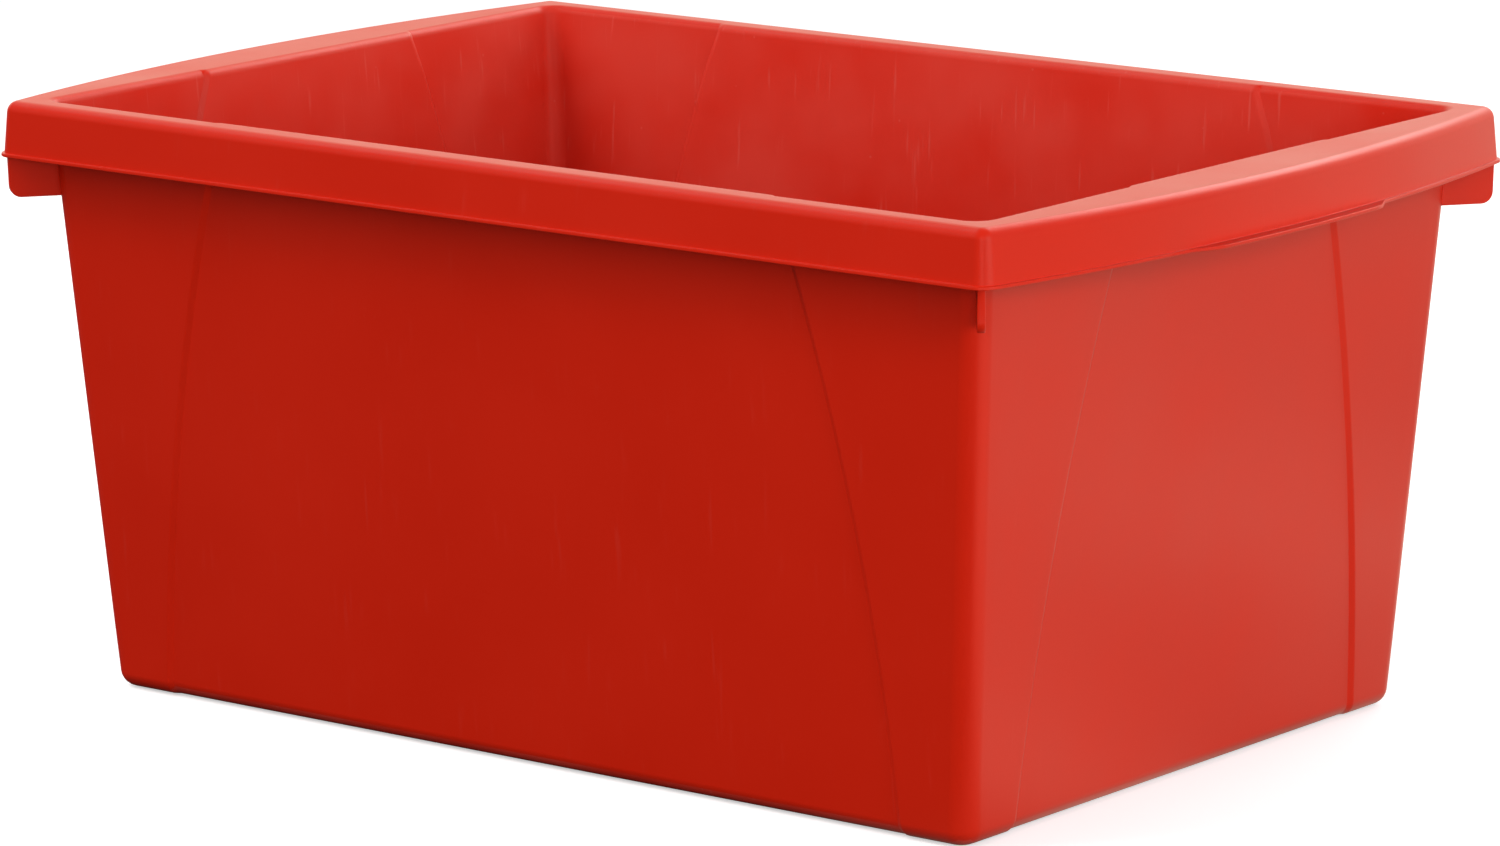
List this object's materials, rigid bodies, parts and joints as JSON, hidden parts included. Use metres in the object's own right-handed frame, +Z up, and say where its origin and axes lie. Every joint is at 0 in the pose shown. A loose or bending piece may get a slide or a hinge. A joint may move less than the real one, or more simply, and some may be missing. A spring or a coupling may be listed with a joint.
{
  "type": "open storage tub",
  "caption": "Open moulded plastic storage tub with tapered panelled walls, a turned-down rim bowed out at the ends as handles, and nesting stops under the rim corners.",
  "frame": {"origin": "middle of the underside, on the surface that the tub stands on", "axes": "+X along the length towards the right handle, +Z up, front at -Y"},
  "size_m": [0.465, 0.302, 0.2095],
  "materials": {
    "red_polypropylene": "moulded polypropylene, satin, through-coloured red"
  },
  "bodies": {
    "root": {"floor": "red_polypropylene", "front_wall": "red_polypropylene", "back_wall": "red_polypropylene", "left_wall": "red_polypropylene", "right_wall": "red_polypropylene", "corner_front_left": "red_polypropylene", "corner_front_right": "red_polypropylene", "corner_back_left": "red_polypropylene", "corner_back_right": "red_polypropylene", "front_rim": "red_polypropylene", "back_rim": "red_polypropylene", "left_handle_rim": "red_polypropylene", "right_handle_rim": "red_polypropylene", "left_grip_ledge": "red_polypropylene", "right_grip_ledge": "red_polypropylene", "stop_front_left": "red_polypropylene", "stop_front_right": "red_polypropylene", "stop_back_left": "red_polypropylene", "stop_back_right": "red_polypropylene"}
  },
  "joints": []
}
